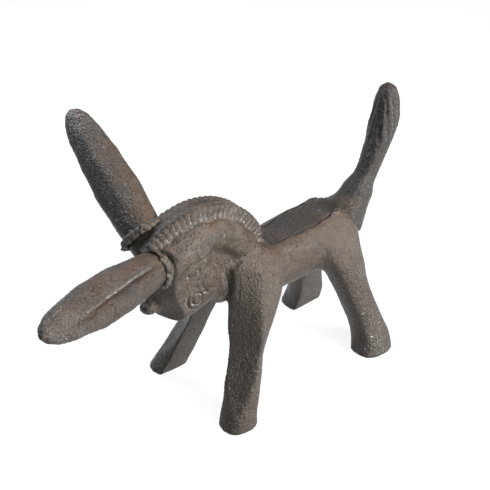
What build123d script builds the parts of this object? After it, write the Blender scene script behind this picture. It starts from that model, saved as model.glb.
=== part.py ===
from build123d import *
from math import cos, radians, sin
import os

# A cast-iron donkey nutcracker. Millimetres, +Z up, +X towards the head, +Y the donkey's left.
# It is drawn with the midplane on y = 0, the soles on z = 0 and x = 0 midway between the front and hind feet.

# ---- driving dimensions ----
pivot_x, pivot_z = 3.0, 72.6
hub_radius = 5.0            # rounded nose of the lever, round the pivot
strip_underside = 2.2       # underside of the strip, below the pivot axis
back_slope = 0.14           # fall of the strip and the channel floor towards the tail
side_gap = 0.4              # lever to channel, each side
floor_gap = 0.4             # lever to channel floor, closed
pin_radius, pin_half_length = 2.0, 11.0
bore_clearance = 0.05       # lever bore over the pin, on the radius
cup_x, cup_depth_below_pivot, cup_radius = -14.0, 7.1, 8.6
shank_radius, head_radius, head_height, shank_end = 2.0, 3.6, 2.2, 8.0
slot_width, slot_depth = 1.0, 1.2
dowel_radius, dowel_half_length = 1.5, 4.0
tenon_radius, tenon_reach = 3.4, 7.0
ear_tip_left, ear_root_left = Vector(146.5, 34.5, 104.0), Vector(74.0, 7.0, 91.5)
ear_tip_right, ear_root_right = Vector(66.5, -69.5, 137.5), Vector(70.3, -6.0, 99.0)
ear_facing = Vector(0.53, 0.67, 0.52)   # the way the broad side of both ears is turned
neck_x, neck_z = 50.0, 68.0             # centre of the neck's arc
slab_half, slab_roll = 11.9, 5.5        # flat-sided neck and head, with rolled edges
mane_radius, mane_half, rib_pitch, rib_height = 42.6, 5.5, 5.6, 0.7
throat_web = 9.0                         # half thickness of the web left between the throat hollows

# Level sections of the left legs: height, centre x, centre y, half length, half width
front_sections = [
    (0, 46.8, 28.8, 9.2, 9.2), (4, 45.2, 27.2, 8.9, 9.3), (10, 42.2, 25.0, 8.6, 9.4),
    (22, 38.2, 22.2, 8.6, 9.4), (34, 34.4, 19.4, 8.9, 9.4), (46, 29.6, 17.0, 11.0, 9.6),
    (58, 24.6, 14.4, 13.6, 9.8), (68, 21.5, 11.2, 14.4, 8.8), (75, 21.0, 8.4, 12.5, 6.6),
    (80, 21.0, 6.0, 7.0, 4.0)]
hind_sections = [
    (0, -46.8, 28.0, 11.2, 9.8), (4, -47.4, 27.0, 10.6, 9.6), (9, -47.4, 25.4, 10.0, 9.3),
    (17, -45.6, 23.0, 9.2, 8.9), (31, -41.4, 19.2, 9.0, 8.7), (44, -37.6, 15.8, 9.8, 8.9),
    (56, -35.0, 12.8, 11.4, 9.3), (66, -34.0, 9.4, 11.6, 8.4), (73, -34.0, 7.0, 9.0, 6.4),
    (78, -34.0, 5.0, 5.0, 4.0)]
# Cross sections of the torso: x, centre height, half width, half height
torso_sections = [
    (-53.4, 61.0, 3.0, 3.0), (-49.8, 61.6, 8.8, 9.2), (-44, 63.0, 12.8, 14.0), (-35, 65.0, 15.0, 15.4),
    (-24, 65.2, 15.3, 15.0), (-12, 64.6, 15.0, 14.4), (0, 63.8, 15.0, 13.8), (12, 63.6, 15.4, 14.2),
    (24, 65.0, 14.4, 13.0), (32, 66.0, 8.0, 8.0)]
# Level sections of the tail: height, centre x, half length, half width
tail_sections = [
    (58, -46.2, 6.6, 6.6), (66, -48.8, 7.6, 7.0), (72, -52.0, 7.8, 6.7), (79, -56.6, 7.4, 6.1),
    (86, -61.6, 6.8, 5.5), (92, -65.5, 6.4, 5.4), (100, -69.2, 6.5, 6.0), (107, -72.0, 6.8, 6.5),
    (114, -74.0, 7.1, 6.9), (120, -75.2, 6.9, 6.7), (126, -75.6, 5.9, 5.7), (130, -75.5, 4.6, 4.5),
    (132.6, -75.4, 3.2, 3.2), (134, -75.4, 1.6, 1.6)]

# Plan of the back strip: x, half width
nose_half_width = 7.6
strip_rim = [(pivot_x, nose_half_width), (-6, 7.9), (-15, 9.3), (-30, 7.9), (-46, 7.2), (-72, 7.2)]


def biggest(shape):
    """The largest solid of a shape."""
    return max(shape.solids(), key=lambda solid: solid.volume)


def cross_pin(x, z, radius, half_length):
    """Cylinder across the midplane at x, z."""
    return Pos(x, 0, z) * Rot(90, 0, 0) * Cylinder(radius, 2 * half_length)


def across_from(x, z, radius, low, high):
    """Cylinder across at x, z from y = low to y = high."""
    return Pos(x, (low + high) / 2, z) * Rot(90, 0, 0) * Cylinder(radius, high - low)


def level_loft(sections):
    """Loft through level ellipses."""
    return loft([
        Plane(origin=(x, y, z), x_dir=(1, 0, 0), z_dir=(0, 0, 1)) * Ellipse(half_length, half_width)
        for z, x, y, half_length, half_width in sections
    ])


def plate(outline, half, roll):
    """Plate of a plane outline in XZ, its long edges rounded."""
    body = extrude(Plane.XZ * outline, amount=half, both=True)
    rims = [edge for edge in body.edges() if abs(abs(edge.center().Y) - half) < 1e-3]
    return fillet(rims, roll) if roll else body


# ---- body mass: torso, neck and head plate, mane, legs ----
torso = loft([
    Plane(origin=(x, 0, z), x_dir=(0, 1, 0), z_dir=(1, 0, 0))
    * RectangleRounded(2 * half_width, 2 * half_height, 0.74 * min(half_width, half_height))
    for x, z, half_width, half_height in torso_sections
])


def on_arc(angle, radius):
    """Point on a circle round the centre of the neck's arc."""
    return neck_x + radius * cos(radians(angle)), neck_z + radius * sin(radians(angle))


# The side view of neck and head: round the neck's arc, down the face and back along the jaw.
head_outline = make_face([
    Spline(on_arc(186, 36.2), on_arc(172, 36.4), on_arc(150, 36.5), on_arc(128, 36.5), on_arc(104, 36.4),
           on_arc(82, 36.0), (67.5, 99.6), (75.6, 94.6), (78.6, 87.0), (77.6, 76.0), (73.6, 65.0), (64.0, 59.0),
           (53.0, 60.6), (43.6, 61.8), (34.0, 62.6), (24.0, 61.0)),
    Line((24.0, 61.0), on_arc(186, 36.2)),
])
throat_outline = make_face(Polyline(
    (26, 55), (37.5, 55), (41.5, 73), (42, 81), (37, 86), (31.5, 80), (28.5, 70), close=True))
ribs_from, rib_count = 53.0, 20
rib_feet = [on_arc(ribs_from + rib_pitch * k, mane_radius - rib_height) for k in range(rib_count + 1)]
rib_tops = [on_arc(ribs_from + rib_pitch * (k + 0.5), mane_radius) for k in range(rib_count)]
mane_end = on_arc(ribs_from + rib_pitch * rib_count, 30.0)
mane_outline = make_face([
    *[ThreePointArc(rib_feet[k], rib_tops[k], rib_feet[k + 1]) for k in range(rib_count)],
    Line(rib_feet[-1], mane_end),
    ThreePointArc(mane_end, on_arc(110, 30.0), on_arc(ribs_from, 30.0)),
    Line(on_arc(ribs_from, 30.0), rib_feet[0]),
])


def leg(sections, inner, lean):
    """A left leg lofted through level ellipses, with a flat inner side."""
    flat = Plane(origin=(0, inner, 0), x_dir=(1, 0, 0), z_dir=(0, 1, lean))
    return split(level_loft(sections), bisect_by=flat, keep=Keep.TOP)


front_leg = leg(front_sections, 23.8, 0.24)
hind_leg = leg(hind_sections, 22.4, 0.26)
eye = Pos(56.6, slab_half - 1.0, 69.0) * Sphere(2.3)

# The throat is a hollow between jaw and shoulder on each side of a web.
throat = Pos(0, throat_web + 15, 0) * extrude(Plane.XZ * throat_outline, amount=15, both=True)
mass = plate(head_outline, slab_half, slab_roll) - throat - mirror(throat, about=Plane.XZ)
mass = torso + mass + plate(mane_outline, mane_half, 1.0)
for piece in (front_leg, hind_leg, eye):
    mass = mass + piece + mirror(piece, about=Plane.XZ)
mass = biggest(mass)

# ---- tail lever: back strip, hub, tail and jaw teeth in one casting ----


def strip_prism(grow):
    """Leaf-shaped prism of the back strip, widened by grow, standing above its sloping underside."""
    low = pivot_z - strip_underside - (floor_gap if grow else 0)
    rear_low = low - back_slope * (70 + pivot_x)
    side = Polyline((pivot_x, low), (-70, rear_low), (-70, 112), (pivot_x, 112), close=True)
    rim = [(x, half_width + grow) for x, half_width in strip_rim]
    other_rim = [(x, -y) for x, y in reversed(rim)]
    plan = make_face([
        Spline(*rim), Line(rim[-1], other_rim[0]), Spline(*other_rim), Line(other_rim[-1], rim[0])])
    return extrude(Plane.XZ * make_face(side), amount=20, both=True) & extrude(plan, amount=140)


nose_room = hub_radius + side_gap
nose_half = nose_half_width + side_gap
channel = strip_prism(side_gap) + cross_pin(pivot_x, pivot_z, nose_room, nose_half)
channel = channel + Pos(pivot_x + nose_room / 2, 0, pivot_z + 20) * Box(nose_room, 2 * nose_half, 40)
cup = Pos(cup_x, 0, pivot_z - cup_depth_below_pivot) * Sphere(cup_radius)
tail = level_loft([(z, x, 0, half_length, half_width) for z, x, half_length, half_width in tail_sections])
underside = Plane(origin=(pivot_x, 0, pivot_z - strip_underside), x_dir=(0, 1, 0), z_dir=(-back_slope, 0, 1))
tail = split(tail, bisect_by=underside, keep=Keep.TOP)
tail_lever = (mass & strip_prism(0)) + (mass & cross_pin(pivot_x, pivot_z, hub_radius, nose_half_width)) + tail
for step in (-1, 0, 1):
    tooth_x = cup_x + 3.2 * step
    tooth_z = pivot_z - strip_underside - back_slope * (pivot_x - tooth_x)
    tail_lever = tail_lever + Pos(tooth_x, 0, tooth_z) * Rot(0, 45, 0) * Box(2.0, 8.0, 2.0)
tail_lever = biggest(tail_lever - cross_pin(pivot_x, pivot_z, pin_radius + bore_clearance, 20))

# ---- pivot pin, screws from the right side, dowels ----
pivot_pin = cross_pin(pivot_x, pivot_z, pin_radius, pin_half_length)
# name: x, z, and the y of the top of the head
screw_places = {
    "neck_screw": (55.0, 84.5, -11.4),
    "chest_screw": (18.5, 55.5, -20.2),
    "hip_screw": (-34.5, 54.5, -19.8),
}
screws, screw_bores = {}, {}
for name, (x, z, top) in screw_places.items():
    shank = across_from(x, z, shank_radius, top + head_height, shank_end)
    head = across_from(x, z, head_radius, top, top + head_height)
    slot = Pos(x, top, z) * Box(2 * head_radius + 1, 2 * slot_depth, slot_width)
    screws[name] = shank + head - slot
    screw_bores[name] = shank + across_from(x, z, head_radius, -40, top + head_height)
dowel_places = [(36.0, 96.0), (64.0, 68.0), (-4.0, 55.0), (-22.0, 54.5)]
dowels = [cross_pin(x, z, dowel_radius, dowel_half_length) for x, z in dowel_places]

# ---- ears ----


def ear(tip, root, root_width):
    """An ear blade from root to tip, the collar of its braze bead, and its tenon."""
    along = (tip - root).normalized()
    thick = (ear_facing - along * ear_facing.dot(along)).normalized()
    across = thick.cross(along)
    length = (tip - root).length

    def sweep(sections):
        return loft([
            Plane(origin=root + along * (length * share), x_dir=across, z_dir=along) * Ellipse(half_width, half_thick)
            for share, half_width, half_thick in sections
        ])

    blade = sweep([
        (-0.08, root_width - 1, 5.6), (0.0, root_width, 6.2), (0.16, 0.5 * root_width + 4.9, 6.0), (0.36, 10.4, 5.5),
        (0.60, 9.9, 4.9), (0.80, 8.1, 4.2), (0.91, 6.1, 3.5), (0.97, 4.2, 2.7), (1.0, 2.2, 1.7)])
    collar = sweep([(-0.04, root_width + 0.2, 6.9), (0.05, root_width + 1.6, 7.4), (0.10, root_width + 0.9, 6.2)])
    tenon = Plane(origin=root + along * 8, x_dir=across, z_dir=along) * Cylinder(tenon_radius, 2 * tenon_reach)
    return blade, collar, tenon


blade_left, collar_left, tenon_left = ear(ear_tip_left, ear_root_left, 7.0)
blade_right, collar_right, tenon_right = ear(ear_tip_right, ear_root_right, 8.8)
ear_left = biggest(biggest(blade_left - mass) + tenon_left)
ear_right = biggest(biggest(blade_right - mass) + tenon_right)
ear_braze_left = biggest(collar_left - mass - ear_left)
ear_braze_right = biggest(collar_right - mass - ear_right)

# ---- the two halves of the body ----
casting = mass - channel - cup - pivot_pin
for bore in (*screw_bores.values(), *dowels, tenon_left, tenon_right):
    casting = casting - bore
left_space = Pos(0, 100, 60) * Box(400, 200, 200)
body_left = biggest(casting & left_space)
body_right = biggest(casting & mirror(left_space, about=Plane.XZ))

# ---- write the pieces ----
os.makedirs("parts", exist_ok=True)
pieces = {
    "body_left": body_left,
    "body_right": body_right,
    "ear_left": ear_left,
    "ear_right": ear_right,
    "ear_braze_left": ear_braze_left,
    "ear_braze_right": ear_braze_right,
    "tail_lever": tail_lever,
    "pivot_pin": pivot_pin,
    "neck_screw": screws["neck_screw"],
    "chest_screw": screws["chest_screw"],
    "hip_screw": screws["hip_screw"],
    "locating_dowels": Compound(children=dowels),
}
# The written origin is the floor point under the middle of the whole object's bounding box.
box = Compound(children=[Compound(children=shape.solids()) for shape in pieces.values()]).bounding_box()
to_origin = Pos(-round(box.center().X, 1), -round(box.center().Y, 1), 0)
print("shift", to_origin.position)
for name, shape in pieces.items():
    shape = to_origin * shape
    solids = shape.solids()
    print(name, len(solids), round(sum(solid.volume for solid in solids)))
    export_step(shape, f"parts/{name}.step")
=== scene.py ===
import math

import bpy
import numpy as np
import openvdb
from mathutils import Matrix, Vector


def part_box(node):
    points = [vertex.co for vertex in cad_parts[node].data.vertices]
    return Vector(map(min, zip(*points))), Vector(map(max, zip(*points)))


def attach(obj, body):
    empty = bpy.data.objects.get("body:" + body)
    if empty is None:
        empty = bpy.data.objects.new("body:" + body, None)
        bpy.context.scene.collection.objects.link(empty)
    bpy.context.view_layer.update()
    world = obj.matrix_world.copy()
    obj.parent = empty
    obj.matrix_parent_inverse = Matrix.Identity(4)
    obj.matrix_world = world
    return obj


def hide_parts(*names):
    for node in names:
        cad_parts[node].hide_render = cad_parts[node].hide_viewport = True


# A cast-iron donkey nutcracker. The shapes are sculpted as distance fields in millimetres, in the frame
# that the CAD is drawn in: midplane y = 0, soles on z = 0, +X towards the head, +Y the donkey's left.
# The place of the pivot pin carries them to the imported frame.

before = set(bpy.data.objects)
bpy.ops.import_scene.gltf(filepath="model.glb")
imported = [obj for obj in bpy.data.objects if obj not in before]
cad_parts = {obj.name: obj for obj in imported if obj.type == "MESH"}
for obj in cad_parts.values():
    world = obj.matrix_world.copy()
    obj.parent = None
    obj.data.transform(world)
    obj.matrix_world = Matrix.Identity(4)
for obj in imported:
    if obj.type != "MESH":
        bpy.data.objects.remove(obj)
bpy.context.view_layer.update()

PIVOT, PIN = (3.0, 0.0, 72.6), 2.0
pin_low, pin_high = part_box("pivot_pin")
SHIFT = (np.array(pin_low, float) + np.array(pin_high, float)) / 2 * 1000 - np.array(PIVOT)

STEP = 0.5        # spacing of the samples
SKIN_BLEND = 0.3                          # rounding where the channel is cut into the casting
NOSE_HALF = 7.6                           # half width of the lever's nose, round the pivot
GAP = 0.4                                 # lever to channel, at the sides and below
CUP_X, CUP_DEPTH, CUP_RADIUS = -14.0, 7.1, 8.6
PIN_HALF = 11.0
TENON_RADIUS, TENON_CENTRE, TENON_REACH = 3.4, 8.0, 7.0
RIB_PITCH = 4.2                           # degrees round the mane
EYE_X, EYE_Z = 56.6, 69.0
CHEEK_X, CHEEK_Z = 48.2, 77.6

# ---------------------------------------------------------------- distance fields


def smin(a, b, k):
    h = np.maximum(k - np.abs(a - b), 0.0) / k
    return np.minimum(a, b) - h * h * (k * 0.25)


def smax(a, b, k):
    return -smin(-a, -b, k)


def step01(x, low, high):
    t = np.clip((x - low) / (high - low), 0.0, 1.0)
    return t * t * (3.0 - 2.0 * t)


def chain(p, points, radii, k):
    """Smooth union of tapered capsules through points."""
    x, y, z = p
    out = None
    for (a, ra), (b, rb) in zip(zip(points[:-1], radii[:-1]), zip(points[1:], radii[1:])):
        bx, by, bz = b[0] - a[0], b[1] - a[1], b[2] - a[2]
        px, py, pz = x - a[0], y - a[1], z - a[2]
        h = np.clip((px * bx + py * by + pz * bz) / (bx * bx + by * by + bz * bz), 0.0, 1.0)
        d = np.sqrt((px - h * bx) ** 2 + (py - h * by) ** 2 + (pz - h * bz) ** 2) - (ra + (rb - ra) * h)
        out = d if out is None else smin(out, d, k)
    return out


def ball(p, centre, radii):
    x, y, z = p
    rx, ry, rz = radii
    q = np.sqrt(((x - centre[0]) / rx) ** 2 + ((y - centre[1]) / ry) ** 2 + ((z - centre[2]) / rz) ** 2)
    return (q - 1.0) * min(radii)


def waves(p, length, count, seed):
    """Smooth noise about -1 to 1 with features about length apart."""
    rng = np.random.default_rng(seed)
    x, y, z = p
    out = 0.0
    for _ in range(count):
        d = rng.normal(size=3)
        d *= 2 * math.pi / (np.linalg.norm(d) * length * rng.uniform(0.75, 1.4))
        start = float(rng.uniform(0, 6.28))
        out = out + np.sin(float(d[0]) * x + float(d[1]) * y + float(d[2]) * z + start)
    return out * float(1.3 / math.sqrt(count))


def across(p, x, z, radius, half_length):
    """Cylinder along y at x, z."""
    return np.maximum(np.sqrt((p[0] - x) ** 2 + (p[2] - z) ** 2) - radius, np.abs(p[1]) - half_length)


def along_axis(at, knots, values):
    """Smooth curve through the knots' values, sampled at a thin axis array."""
    knots, values = np.array(knots, float), np.array(values, float)
    slopes = np.gradient(values, knots)
    k = np.clip(np.searchsorted(knots, at) - 1, 0, len(knots) - 2)
    h = knots[k + 1] - knots[k]
    t = np.clip((at - knots[k]) / h, 0.0, 1.0)
    a, b, m, n = values[k], values[k + 1], slopes[k] * h, slopes[k + 1] * h
    ends = (2 * t**3 - 3 * t**2 + 1) * a + (3 * t**2 - 2 * t**3) * b
    slants = (t**3 - 2 * t**2 + t) * m + (t**3 - t**2) * n
    return (ends + slants).astype(np.float32)


def section(u, v, a, b, square):
    """Distance to a section between an ellipse and a rounded rectangle of half sizes a and b."""
    u, v = (u / a) ** 2, (v / b) ** 2
    q = np.sqrt(u + v) * (1.0 - square) + np.sqrt(np.sqrt(u * u + v * v)) * square
    return (q - 1.0) * np.minimum(a, b)


# ---------------------------------------------------------------- the body

# Level sections of the left legs: height, centre x, centre y, half length, half width
FRONT_LEG = [
    (-6, 47.2, 29.4, 9.0, 9.0), (0, 46.8, 28.8, 9.2, 9.2), (4, 45.2, 27.2, 8.9, 9.3),
    (10, 42.2, 25.0, 8.6, 9.4), (22, 38.2, 22.2, 8.6, 9.4), (34, 34.4, 19.4, 8.9, 9.4),
    (46, 29.2, 17.0, 11.2, 9.6), (58, 24.0, 14.4, 14.2, 9.8), (68, 21.0, 11.6, 15.0, 9.0),
    (76, 21.0, 8.6, 12.5, 7.0), (82, 21.0, 6.0, 3.0, 3.0)]
HIND_LEG = [
    (-6, -46.0, 28.6, 11.6, 9.8), (0, -46.8, 28.0, 11.2, 9.8), (4, -47.4, 27.0, 10.6, 9.6),
    (9, -47.4, 25.4, 10.0, 9.3), (17, -45.6, 23.0, 9.2, 8.9), (31, -41.4, 19.2, 9.0, 8.7),
    (44, -37.6, 15.8, 9.8, 8.9), (56, -35.0, 12.8, 11.4, 9.3), (66, -34.0, 10.0, 11.6, 8.4),
    (74, -34.0, 7.0, 8.0, 5.0), (79, -34.0, 5.0, 2.5, 2.5)]
# Cross sections of the torso: x, centre height, half width, half height
TORSO = [
    (-53.6, 61.0, 2, 2), (-49.8, 61.6, 8.5, 9.0), (-44, 63.0, 12.8, 14.0), (-35, 65.0, 15.0, 15.4),
    (-24, 65.2, 15.3, 15.0), (-12, 64.6, 15.0, 14.4), (0, 63.8, 15.0, 13.8), (12, 63.6, 15.4, 14.2),
    (24, 65.0, 14.4, 13.8), (32, 66.0, 8.0, 8.0), (35, 66.0, 2, 2)]
# Level sections of the tail: height, centre x, half length, half width
TAIL = [
    (58, -47.0, 6.5, 6.4), (66, -48.8, 7.6, 7.2), (72, -52.0, 7.8, 6.8), (79, -56.6, 7.4, 6.1),
    (86, -61.6, 6.7, 5.4), (92, -65.5, 6.3, 5.2), (100, -69.2, 6.4, 5.8), (107, -72.0, 6.7, 6.3),
    (114, -74.0, 7.0, 6.7), (120, -75.2, 6.7, 6.5), (126, -75.6, 5.9, 5.7),
    (131, -75.5, 4.6, 4.5), (133.8, -75.4, 3.2, 3.2), (135.2, -75.4, 1.2, 1.2)]


def leg(p, sections, inner, lean, square):
    """A left leg through its level sections, flat on the inner side and on the sole."""
    z = p[2]
    levels, cx, cy, a, b = zip(*sections)
    cx, cy, a, b = (along_axis(z, levels, v) for v in (cx, cy, a, b))
    d = section(p[0] - cx, p[1] - cy, a, b, square) * 0.93
    d = np.maximum(d, z - levels[-1])
    flat = (inner - lean * z - p[1]) / math.sqrt(1 + lean * lean)
    return smax(smax(d, flat, 1.0), -z, 1.4)


MANE_CENTRE, MANE_RADIUS = (50.0, 68.0), 43.1


def slab(outline, y, half, roll):
    """Plate of a plane outline with rolled edges."""
    u, v = outline + roll, np.abs(y) - half + roll
    return np.sqrt(np.maximum(u, 0) ** 2 + np.maximum(v, 0) ** 2) + np.minimum(np.maximum(u, v), 0.0) - roll


def body_field(p):
    """The whole animal without ears and tail; p's y is folded to the left side."""
    x, y, z = p
    stations, cz, a, b = zip(*TORSO)
    cz, a, b = (along_axis(x, stations, v) for v in (cz, a, b))
    torso = section(y, z - cz, a, b, 0.30 + 0.45 * step01(x, -40.0, -14.0))
    torso = np.maximum(torso, np.maximum(stations[0] - x, x - stations[-1]))

    plane = (x, 0.0 * x, z)
    neck = chain(plane, [(21.4, 0, 66), (21.6, 0, 73), (25.1, 0, 82.4), (31.5, 0, 90.1), (40.1, 0, 95.1),
                         (50, 0, 96.8), (59.8, 0, 95), (66.0, 0, 91)],
                 [9.0, 8.0, 7.7, 7.6, 7.7, 7.8, 8.0, 9.0], 2.0)
    head = chain(plane, [(55, 0, 86), (66.5, 0, 87), (65, 0, 80), (62.2, 0, 72.6), (54, 0, 73.6)],
                 [10.0, 12.0, 13.2, 14.0, 12.4], 3.0)
    muzzle = chain(plane, [(54, 0, 70.5), (43.8, 0, 68.2)], [9.5, 6.2], 2.0)
    web = chain(plane, [(36, 0, 68), (40, 0, 82)], [12.0, 10.0], 2.0)
    crest = smin(slab(neck, y, 11.9, 6.6), slab(head, y, 11.9, 5.5), 3.0)
    crest = smin(crest, slab(muzzle, y, 10.8, 4.5), 3.0)
    # the face is a pair of flats that meet in front
    crest = smax(crest, 0.8 * x + 0.6 * y - 61.5 + 4.0 * step01(-z, -76.0, -60.0), 1.2)
    crest = smin(crest, slab(web, y, 9.0, 3.0), 2.0)

    # mane: a ridged plate along the arc of the neck
    angle = np.degrees(np.arctan2(z - MANE_CENTRE[1], x - MANE_CENTRE[0]))
    reach = np.sqrt((x - MANE_CENTRE[0]) ** 2 + (z - MANE_CENTRE[1]) ** 2)
    turn = np.where(angle < -90, angle + 360, angle)
    phase = (turn / RIB_PITCH) % 1.0 - 0.5
    ribs = (1.0 - 4.0 * phase * phase) * step01(turn, 49, 53) * step01(-turn, -163, -157)
    sides = step01(y, 2.6, 4.0)
    fall = 1.0 * step01(turn, 146, 164)
    arc = np.maximum(reach - (MANE_RADIUS - 0.75 - fall), 30.0 - reach)
    arc = np.maximum(arc, np.maximum(turn - 163.5, 47.0 - turn) * 0.72)
    ribs = ribs * sides * step01(reach, MANE_RADIUS - 8.4, MANE_RADIUS - 6.8)
    plate = slab(arc, y, 5.6, 1.5) - 0.6 * ribs
    crest = smin(crest, plate, 1.8)
    groove = np.exp(-(((reach - (MANE_RADIUS - 8.6)) / 2.2) ** 2)) * step01(y, 4.5, 7.0)
    crest = crest + 0.5 * groove * step01(-turn, -172, -150) * step01(turn, 50, 62)

    d = smin(torso, crest, 5.0)
    fore = leg(p, FRONT_LEG, 23.8, 0.24, 0.35)
    # the front of the fore leg is a flat that turns outwards towards the shoulder
    facing = np.radians(along_axis(z, [-5, 10, 31, 65, 72, 85], [30, 30, 35, 52, 62, 70]))
    reach_out = along_axis(z, [-5, 0, 10, 31, 65, 72, 85], [69.5, 67.0, 58.0, 44.2, 32.7, 27.4, 23.0])
    fore = smax(fore, np.cos(facing) * x + np.sin(facing) * y - reach_out, 1.0)
    d = smin(d, fore, 2.6)
    d = smin(d, leg(p, HIND_LEG, 22.4, 0.26, 0.45), 6.0)

    # throat: a hollow between the jaw and the shoulder
    throat = ball(p, (38.4, 13.6, 73.0), (3.0, 4.6, 9.0))
    d = smax(d, -throat, 2.0)
    # forelock bump, eye with its lid ring, corner, brow crease, cheek disc and casting pits
    d = smin(d, ball(p, (74.8, 0.0, 66.4), (4.2, 4.4, 3.2)), 3.0)
    side = step01(y, 8.0, 10.0)
    from_eye = np.sqrt((x - EYE_X) ** 2 + (z - EYE_Z) ** 2)
    relief = 1.2 * np.exp(-((from_eye / 2.4) ** 4)) + 0.5 * np.exp(-(((from_eye - 4.0) / 0.8) ** 2))
    relief = relief - 0.6 * np.exp(-(((from_eye - 2.95) / 0.5) ** 2))
    corner = np.exp(-(((x - EYE_X + 5.0) / 1.3) ** 2 + ((z - EYE_Z - 1.6) / 1.1) ** 2))
    ahead = step01(x - EYE_X - 0.5 * (z - EYE_Z), 1.0, 4.0)
    relief = relief - 1.0 * corner - 0.6 * ahead * np.exp(-(((from_eye - 5.6) / 0.8) ** 2))
    from_cheek = np.sqrt((x - CHEEK_X) ** 2 + (z - CHEEK_Z) ** 2)
    relief = relief + 0.45 * step01(-from_cheek, -5.6, -3.2)
    relief = relief - 0.2 * np.exp(-(((from_cheek - 6.2) / 0.8) ** 2))
    relief = relief + 0.5 * np.exp(-(((x - 47.4) / 2.2) ** 2 + ((z - 83.2) / 2.0) ** 2))
    for px, pz, wide, tall, deep in ((54.6, 83.0, 0.9, 1.5, 1.1), (60.8, 82.4, 0.8, 0.9, 0.8),
                                     (51.0, 88.5, 0.7, 0.8, 0.5), (45.5, 64.6, 0.8, 1.0, 0.6)):
        relief = relief - deep * np.exp(-(((x - px) / wide) ** 2 + ((z - pz) / tall) ** 2))
    return d - side * relief


# ---------------------------------------------------------------- the lever

BACK_SLOPE, UNDER = 0.14, 2.2
HUB = 5.0


def strip_field(p, grow, drop):
    """Leaf-shaped prism of the back strip with a scalloped edge, open upwards and to the rear."""
    x, y, z = p
    scallop = 0.9 * np.abs(np.sin((x + 4.0) * (math.pi / 10.5))) ** 0.7 - 0.9
    half = NOSE_HALF + 1.8 * step01(-x, 3.0, 16.0) - 2.2 * step01(-x, 15.0, 46.0)
    half = half + scallop * step01(-x, 0.0, 6.0) + grow
    under = (PIVOT[2] - UNDER - drop + BACK_SLOPE * (x - PIVOT[0]) - z) / math.hypot(1.0, BACK_SLOPE)
    return np.maximum(np.maximum(np.abs(y) - half, x - PIVOT[0]), under)


def tail_field(p):
    """The tail through its level sections, with a furrowed tuft."""
    x, y, z = p
    levels, cx, a, b = zip(*TAIL)
    cx, a, b = (along_axis(z, levels, v) for v in (cx, a, b))
    d = section(x - cx, y, a, b, 0.55) * 0.85
    d = np.maximum(d, z - levels[-1])
    # tuft: twisting hair furrows
    turn = np.arctan2(y, x + 74.5)
    tuft = step01(z, 102.0, 110.0) * step01(-z, -131.0, -126.0)
    return d + tuft * 0.22 * np.cos(turn * 12 + z * 0.12)


def cup_field(p):
    """The nut hollow in the floor of the channel."""
    return ball(p, (CUP_X, 0.0, PIVOT[2] - CUP_DEPTH), (CUP_RADIUS,) * 3)


def lever_field(p, body):
    """Back strip, rounded nose, tail and jaw teeth in one; body is the field of the whole animal."""
    x, y, z = p
    strip = smax(body, strip_field(p, 0.0, 0.0), 0.5)
    hub = np.maximum(across(p, PIVOT[0], PIVOT[2], HUB, NOSE_HALF), body)
    clip = (PIVOT[2] - UNDER + BACK_SLOPE * (x - PIVOT[0]) - z) / math.hypot(1.0, BACK_SLOPE)
    tail = smax(tail_field(p), clip, 0.5)
    rump = chain(p, [(-30, 0, 71.5), (-48, 0, 68.5), (-57, 0, 79)], [7.0, 8.6, 7.2], 6.0)
    d = smax(smin(smin(strip, tail, 9.0), rump, 5.0), clip, 0.4)
    d = np.minimum(d, hub)
    for k in (-1, 0, 1):
        tx = CUP_X + 3.2 * k
        tz = PIVOT[2] - UNDER + BACK_SLOPE * (tx - PIVOT[0])
        tooth = (np.abs(x - tx) + np.abs(z - tz) - 1.41) * 0.707
        d = np.minimum(d, np.maximum(tooth, np.abs(y) - 4.0))
    return np.maximum(d, -across(p, PIVOT[0], PIVOT[2], PIN + 0.05, 30.0))


def pocket_field(p):
    """Room round the hub, open upwards so that the nose of the lever can turn in it."""
    x, y, z = p
    room, half = HUB + GAP, NOSE_HALF + GAP
    wall = np.maximum(np.maximum(x - PIVOT[0] - room, PIVOT[2] - z), PIVOT[0] - HUB - x)
    return np.minimum(across(p, PIVOT[0], PIVOT[2], room, half), np.maximum(wall, np.abs(y) - half))


# ---------------------------------------------------------------- the ears

EAR_FACING = np.array([0.53, 0.67, 0.52])
EARS = {
    "left": (np.array([74.0, 7.0, 91.5]), np.array([146.5, 34.5, 104.0])),
    "right": (np.array([70.3, -6.0, 99.0]), np.array([66.5, -69.5, 137.5])),
}
# Ear sections: share of the length, half width, half thickness
EAR_SECTIONS = {
    "left": [(-0.12, 7.4, 6.2), (0.0, 8.0, 6.6), (0.16, 9.0, 6.4), (0.36, 10.5, 5.6), (0.60, 10.0, 5.0),
             (0.80, 8.2, 4.3), (0.91, 6.2, 3.6), (0.97, 4.0, 2.6), (1.0, 1.0, 0.8)],
    "right": [(-0.12, 8.4, 6.0), (0.0, 9.0, 6.6), (0.16, 10.0, 6.4), (0.36, 10.6, 5.7), (0.60, 9.9, 5.0),
              (0.80, 8.2, 4.3), (0.91, 6.2, 3.6), (0.97, 4.0, 2.6), (1.0, 1.0, 0.8)],
}


def ear_axes(side):
    """Root, length and the three directions of an ear: along, wide and thick."""
    root, tip = EARS[side]
    length = float(np.linalg.norm(tip - root))
    along = (tip - root) / length
    thick = EAR_FACING - along * float(EAR_FACING @ along)
    thick /= np.linalg.norm(thick)
    return root, length, along, np.cross(thick, along), thick


def ear_local(p, side):
    """Share of the ear's length, place across its width and thickness, and its length."""
    root, length, along, wide, thick = ear_axes(side)
    q = [p[i] - float(root[i]) for i in range(3)]

    def reach(v):
        return q[0] * float(v[0]) + q[1] * float(v[1]) + q[2] * float(v[2])

    return reach(along) / length, reach(wide), reach(thick), length


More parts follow.
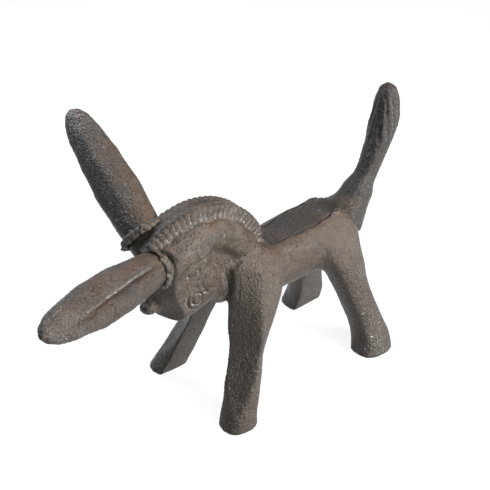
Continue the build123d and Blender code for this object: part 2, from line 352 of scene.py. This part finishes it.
def ear_field(p, side):
    """The blade of an ear with the relief of its front."""
    u, w, t, length = ear_local(p, side)
    shares, wide, thick = zip(*EAR_SECTIONS[side])
    a = np.interp(u, shares, wide).astype(np.float32)
    b = np.interp(u, shares, thick).astype(np.float32)
    q = np.sqrt((w / a) ** 2 + (t / b) ** 2)
    d = (q - 1.0) * b * 0.9
    d = np.maximum(d, (u - 1.0) * length)
    d = np.maximum(d, (-0.10 - u) * length)
    if side == "left":
        # a folded leaf: a groove from the root that opens into a scoop towards the tip, and a ridge below it
        at = -1.0 + 2.2 * step01(u, 0.1, 0.8)
        deep = 1.1 * step01(u, 0.02, 0.2) * step01(-u, -0.95, -0.80)
        groove = np.exp(-(((w - at) / (1.3 + 1.6 * step01(u, 0.55, 0.85))) ** 2))
        ridge = 0.5 * np.exp(-(((w - at - 4.2) / 1.6) ** 2))
        ridge = ridge * step01(u, 0.05, 0.3) * step01(-u, -0.9, -0.7)
        return d + (deep * groove - ridge) * step01(t, -0.5, 1.5)
    crown = 0.5 * np.exp(-(((w - 1.0) / 2.4) ** 2)) * step01(u, 0.1, 0.4) * step01(-u, -0.9, -0.7)
    return d - crown * step01(t, -0.5, 1.5)


def braze_field(p, side):
    """Lumpy bead round the root of an ear."""
    u, w, t, length = ear_local(p, side)
    turn = np.arctan2(t, w)
    lumps = 0.16 * np.cos(turn * 7.0) + 0.10 * np.cos(turn * 17.0 + 1.0)
    a, b = (7.6, 6.3) if side == "left" else (9.0, 6.6)
    q = (np.sqrt((w / a) ** 2 + (t / b) ** 2) - 1.0) * b
    return np.sqrt(q * q + ((u - 0.02) * length) ** 2) - 2.2 - lumps


def tenon_field(p, side):
    """Round tenon of an ear, in the head."""
    u, w, t, length = ear_local(p, side)
    return np.maximum(np.sqrt(w * w + t * t) - TENON_RADIUS, np.abs(u * length - TENON_CENTRE) - TENON_REACH)


# ---------------------------------------------------------------- meshing


def axes(low, high):
    """Sample places between two corners, as thin arrays that broadcast and as lists."""
    grids = [np.arange(a, b + STEP, STEP, dtype=np.float32) for a, b in zip(low, high)]
    return (grids[0][:, None, None], grids[1][None, :, None], grids[2][None, None, :]), grids


def to_mesh(name, field, grids, flip_y=False, seam=False):
    """Mesh of a sampled field's zero surface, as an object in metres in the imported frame."""
    vdb = openvdb.FloatGrid(background=3.0)
    vdb.copyFromArray(np.clip(field, -3.0, 3.0).astype(np.float32))
    points, quads = vdb.convertToQuads(isovalue=0.0)
    low = np.array([g[0] for g in grids], float)
    points = low + points * STEP
    quads = quads[:, ::-1]
    if seam:
        points[points[:, 1] < 0.6 * STEP, 1] = 0.0
    if flip_y:
        points[:, 1] = -points[:, 1]
        quads = quads[:, ::-1]
    points = (points + SHIFT) / 1000.0
    mesh = bpy.data.meshes.new(name)
    mesh.vertices.add(len(points))
    mesh.vertices.foreach_set("co", points.astype(np.float32).ravel())
    mesh.loops.add(len(quads) * 4)
    mesh.loops.foreach_set("vertex_index", quads.astype(np.int32).ravel())
    mesh.polygons.add(len(quads))
    mesh.polygons.foreach_set("loop_start", np.arange(len(quads), dtype=np.int32) * 4)
    mesh.update(calc_edges=True)
    mesh.validate()
    mesh.polygons.foreach_set("use_smooth", np.ones(len(mesh.polygons), bool))
    mesh.set_sharp_from_angle(angle=math.radians(48))
    obj = bpy.data.objects.new(name, mesh)
    bpy.context.scene.collection.objects.link(obj)
    return obj


def casting_skin(p, field, seed):
    """Slow lumps and fine grain of a sand casting."""
    return field + 0.09 * waves(p, 14.0, 8, seed) + 0.04 * waves(p, 1.9, 26, seed + 1)


BODY_SEED, EAR_SEED = 3, {"left": 21, "right": 31}
HEAD_BORE_RADIUS, HEAD_BORE_DEPTH = 3.65, 2.25
# Screws of the right half: x, z and how far out the top of the head is
SCREWS = [(55.0, 84.5, 11.4), (18.5, 55.5, 20.2), (-34.5, 54.5, 19.8)]

made = {}

p, grids = axes((-58, -1.2, -1.5), (88, 40, 113))
whole = body_field(p)
lever_near = lever_field(p, whole)
cut = np.minimum(strip_field(p, GAP, GAP), pocket_field(p))
cut = np.minimum(cut, cup_field(p))
cut = np.minimum(cut, lever_near - 0.45)
cut = np.minimum(cut, across(p, PIVOT[0], PIVOT[2], PIN, PIN_HALF))
skinned = casting_skin(p, whole, BODY_SEED)
half = smax(np.maximum(skinned, -p[2]), -cut, SKIN_BLEND)
for side, flip in (("left", False), ("right", True)):
    q = (p[0], -p[1], p[2]) if flip else p
    shaped = np.maximum(half, -tenon_field(q, side))
    if flip:
        for sx, sz, top in SCREWS:
            from_screw = np.sqrt((p[0] - sx) ** 2 + (p[2] - sz) ** 2)
            bore = np.maximum(from_screw - HEAD_BORE_RADIUS, top - HEAD_BORE_DEPTH - p[1])
            shaped = np.maximum(shaped, -bore)
    shaped = np.maximum(shaped, -p[1])
    made["body_" + side] = to_mesh("cast_body_" + side, shaped, grids, flip, seam=True)

p, grids = axes((-86, -11, 58), (18, 11, 137))
fold = (p[0], np.abs(p[1]), p[2])
lever = lever_field(fold, casting_skin(p, body_field(fold), BODY_SEED))
lever = lever + 0.05 * waves(p, 2.1, 12, 9)
made["tail_lever"] = to_mesh("cast_tail_lever", lever, grids)

for side in ("left", "right"):
    root, tip = EARS[side]
    low = np.minimum(root, tip) - 12.5
    high = np.maximum(root, tip) + 12.5
    p, grids = axes(low, high)
    fold = (p[0], np.abs(p[1]), p[2])
    skull = body_field(fold)
    blade = casting_skin(p, ear_field(p, side), EAR_SEED[side])
    blade = np.maximum(blade, -skull + 0.02)
    ear = np.minimum(blade, tenon_field(p, side))
    made["ear_" + side] = to_mesh("cast_ear_" + side, ear, grids)
    bead = braze_field(p, side) + 0.2 * waves(p, 2.4, 10, 41)
    bead = np.maximum(np.maximum(bead, -skull + 0.03), -blade + 0.03)
    made["ear_braze_" + side] = to_mesh("braze_bead_" + side, bead, grids)

# ---------------------------------------------------------------- material


def casting_material(name, tint, rust, rough, metal, wear_and_glint_level=1.0, cracks=0.9):
    """Antiqued sand-cast iron: dark grain, rubbed edges and painted glints, rust on upward faces, dark pits
    and creases.

    Painted shade: faces towards +X and everything low down get a deep tint in the base colour.
    """
    material = bpy.data.materials.new(name)
    material.use_nodes = True
    tree = material.node_tree
    nodes, links = tree.nodes, tree.links
    shader = nodes["Principled BSDF"]
    coords = nodes.new("ShaderNodeTexCoord").outputs["Object"]

    def noise(scale, detail, roughness=0.6, warp=0.0):
        node = nodes.new("ShaderNodeTexNoise")
        node.inputs["Scale"].default_value = scale
        node.inputs["Detail"].default_value = detail
        node.inputs["Roughness"].default_value = roughness
        node.inputs["Distortion"].default_value = warp
        links.new(coords, node.inputs["Vector"])
        return node.outputs["Fac"]

    def cells(scale):
        node = nodes.new("ShaderNodeTexVoronoi")
        node.inputs["Scale"].default_value = scale
        links.new(coords, node.inputs["Vector"])
        return node.outputs["Distance"]

    def ramp(source, low, high, start=0.0, end=1.0):
        node = nodes.new("ShaderNodeMapRange")
        for key, value in (("From Min", low), ("From Max", high), ("To Min", start), ("To Max", end)):
            node.inputs[key].default_value = value
        links.new(source, node.inputs["Value"])
        return node.outputs["Result"]

    def maths(kind, a, b):
        node = nodes.new("ShaderNodeMath")
        node.operation = kind
        for k, v in enumerate((a, b)):
            if isinstance(v, (int, float)):
                node.inputs[k].default_value = v
            else:
                links.new(v, node.inputs[k])
        return node.outputs[0]

    def mix(factor, a, b):
        node = nodes.new("ShaderNodeMix")
        node.data_type = "RGBA"
        for key, v in ((0, factor), (6, a), (7, b)):
            if isinstance(v, tuple):
                node.inputs[key].default_value = (*v, 1.0)
            elif isinstance(v, (int, float)):
                node.inputs[key].default_value = v
            else:
                links.new(v, node.inputs[key])
        return node.outputs[2]

    geometry = nodes.new("ShaderNodeNewGeometry")
    normal = nodes.new("ShaderNodeSeparateXYZ")
    links.new(geometry.outputs["Normal"], normal.inputs[0])
    upward = ramp(normal.outputs["Z"], 0.35, 0.9)
    patches = ramp(noise(75.0, 4.0, 0.6, 0.6), 0.40, 0.60)
    mottling = ramp(noise(260.0, 6.0, 0.72), 0.38, 0.62)
    grit = ramp(noise(1250.0, 3.0, 0.7), 0.42, 0.60)
    speck = ramp(noise(1700.0, 2.0, 0.7), 0.52, 0.60)
    dark = tuple(c * 0.42 for c in tint)
    base = mix(mottling, dark, tint)
    base = mix(maths("MULTIPLY", maths("MULTIPLY", upward, patches), 0.85), base, rust)
    base = mix(maths("MULTIPLY", grit, 0.75), base, tuple(c * 0.35 for c in tint))
    # Painted shade: faces turned towards +X, and everything low down, are dimmed towards a deep tint in the
    # base colour.
    painted_shade_front = ramp(normal.outputs["X"], 0.28, 0.62)
    place = nodes.new("ShaderNodeSeparateXYZ")
    links.new(coords, place.inputs[0])
    painted_shade_low = ramp(place.outputs["Z"], 0.042, 0.064, 1.0, 0.0)
    painted_shade = maths("MAXIMUM", maths("MULTIPLY", painted_shade_front, 0.8), maths("MULTIPLY", painted_shade_low, 0.9))
    base = mix(painted_shade, base, tuple(c * 0.38 for c in tint))
    edges = ramp(geometry.outputs["Pointiness"], 0.505, 0.535)
    # Painted glints: pale specks in scattered patches stand in for sparkling highlights.
    glints, glint_patches = ramp(noise(1500.0, 2.0, 0.7), 0.55, 0.61), ramp(noise(34.0, 2.0), 0.53, 0.63)
    painted_glints = maths("MULTIPLY", maths("MULTIPLY", glints, glint_patches), 0.22)
    rubbed_edges_and_glints = maths("MULTIPLY", maths("MAXIMUM", maths("MULTIPLY", edges, speck), painted_glints), wear_and_glint_level)
    # Pale grey-blue specks in the base colour: rubbed edges, with painted highlights along the edges and the
    # painted glints.
    base = mix(maths("MULTIPLY", rubbed_edges_and_glints, 0.85), base, (0.34, 0.35, 0.37))
    creases = ramp(geometry.outputs["Pointiness"], 0.43, 0.492, 1.0, 0.0)
    base = mix(maths("MULTIPLY", creases, cracks), base, (0.006, 0.006, 0.007))
    pit_patches = ramp(noise(60.0, 2.0), 0.5, 0.62)
    pits = maths("MULTIPLY", ramp(cells(420.0), 0.12, 0.26, 1.0, 0.0), pit_patches)
    base = mix(maths("MULTIPLY", pits, 0.75), base, (0.006, 0.006, 0.006))
    links.new(base, shader.inputs["Base Color"])
    shader.inputs["Metallic"].default_value = metal
    shader.inputs["Specular IOR Level"].default_value = 0.38
    shine = maths("MULTIPLY", maths("ADD", rubbed_edges_and_glints, maths("MULTIPLY", speck, 0.35)), 0.22)
    roughness = maths("SUBTRACT", maths("ADD", maths("MULTIPLY", mottling, 0.16), rough), shine)
    links.new(roughness, shader.inputs["Roughness"])
    grain = nodes.new("ShaderNodeBump")
    grain.inputs["Strength"].default_value = 0.9
    grain.inputs["Distance"].default_value = 0.0009
    height = maths("ADD", noise(820.0, 4.0, 0.7), maths("MULTIPLY", noise(300.0, 3.0), 0.7))
    height = maths("SUBTRACT", height, maths("MULTIPLY", pits, 0.5))
    links.new(height, grain.inputs["Height"])
    links.new(grain.outputs["Normal"], shader.inputs["Normal"])
    return material


iron = casting_material("antiqued_cast_iron", (0.074, 0.057, 0.043), (0.082, 0.043, 0.022), 0.30, 0.25)
steel = casting_material("browned_steel", (0.085, 0.075, 0.066), (0.09, 0.06, 0.04), 0.34, 0.75, 0.5)
brass = casting_material("browned_braze", (0.120, 0.105, 0.090), (0.11, 0.07, 0.04), 0.34, 0.5, 1.0, 0.25)
# Copies of the iron with a deeper tint, as painted shade: one for the lever with its tail, one for the left
# ear.
shaded_lever_iron = casting_material("painted_shade_lever_casting", (0.030, 0.025, 0.021), (0.052, 0.030, 0.018), 0.31, 0.25)
shaded_ear_iron = casting_material("painted_shade_left_ear_casting", (0.055, 0.043, 0.034), (0.072, 0.038, 0.020), 0.30, 0.25)

FINISH_AND_PAINTED_SHADE = {"body_left": iron, "body_right": iron, "tail_lever": shaded_lever_iron, "ear_left": shaded_ear_iron,
          "ear_right": iron, "ear_braze_left": brass, "ear_braze_right": brass}

for node, obj in made.items():
    obj.data.materials.append(FINISH_AND_PAINTED_SHADE[node])
    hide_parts(node)
    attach(obj, "lever" if node == "tail_lever" else "donkey")

for node in ("pivot_pin", "neck_screw", "chest_screw", "hip_screw", "locating_dowels"):
    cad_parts[node].material_slots[0].material = steel

# ---------------------------------------------------------------- stage, light, camera


def to_row(point):
    return Vector([(point[i] + SHIFT[i]) / 1000.0 for i in range(3)])


floor_mesh = bpy.data.meshes.new("floor")
floor_mesh.from_pydata([(-40, -40, 0), (40, -40, 0), (40, 40, 0), (-40, 40, 0)], [], [(0, 1, 2, 3)])
floor = bpy.data.objects.new("floor", floor_mesh)
bpy.context.scene.collection.objects.link(floor)
paper = bpy.data.materials.new("white_paper")
paper.use_nodes = True
paper_shader = paper.node_tree.nodes["Principled BSDF"]
for key, value in (("Base Color", (0.12, 0.12, 0.12, 1)), ("Roughness", 0.9),
                   ("Emission Color", (1, 1, 1, 1)), ("Emission Strength", 0.86)):
    paper_shader.inputs[key].default_value = value
floor_mesh.materials.append(paper)

world = bpy.data.worlds.new("studio")
bpy.context.scene.world = world
world.use_nodes = True
sky = world.node_tree.nodes["Background"]
sky.inputs[0].default_value = (0.93, 0.96, 1.0, 1.0)
sky.inputs[1].default_value = 0.10
# what is seen past the floor is pale, like the floor
backdrop = world.node_tree.nodes.new("ShaderNodeBackground")
backdrop.inputs[0].default_value = (1.0, 1.0, 1.0, 1.0)
backdrop.inputs[1].default_value = 0.92
seen = world.node_tree.nodes.new("ShaderNodeLightPath")
choose = world.node_tree.nodes.new("ShaderNodeMixShader")
connect = world.node_tree.links.new
connect(seen.outputs["Is Camera Ray"], choose.inputs[0])
connect(sky.outputs[0], choose.inputs[1])
connect(backdrop.outputs[0], choose.inputs[2])
connect(choose.outputs[0], world.node_tree.nodes["World Output"].inputs[0])


def softbox(name, place, target, size, power, colour=(1.0, 1.0, 1.0)):
    light = bpy.data.lights.new(name, "AREA")
    light.size = size
    light.energy = power
    light.color = colour
    obj = bpy.data.objects.new(name, light)
    bpy.context.scene.collection.objects.link(obj)
    obj.location = to_row(place)
    obj.rotation_euler = (to_row(target) - obj.location).to_track_quat("-Z", "Y").to_euler()


middle = (17.9, 0.0, 76.9)
softbox("key_side", (-260, 540, 330), middle, 0.36, 15.0, (1.0, 0.97, 0.94))
softbox("top", (-150, 160, 640), middle, 0.20, 2.2, (0.86, 0.93, 1.0))
softbox("window_back", (60, -480, 430), middle, 0.20, 4.5, (0.80, 0.90, 1.0))

camera_data = bpy.data.cameras.new("camera")
camera = bpy.data.objects.new("camera", camera_data)
bpy.context.scene.collection.objects.link(camera)
camera.location = to_row((278.4, 313.4, 332.4))
camera.rotation_euler = (to_row(middle) - camera.location).to_track_quat("-Z", "Y").to_euler()
camera_data.sensor_fit = "HORIZONTAL"
camera_data.angle = 2 * math.atan(245.0 / 1000.0)
camera_data.clip_start = 0.01
bpy.context.scene.camera = camera
bpy.context.scene.view_settings.view_transform = "Standard"
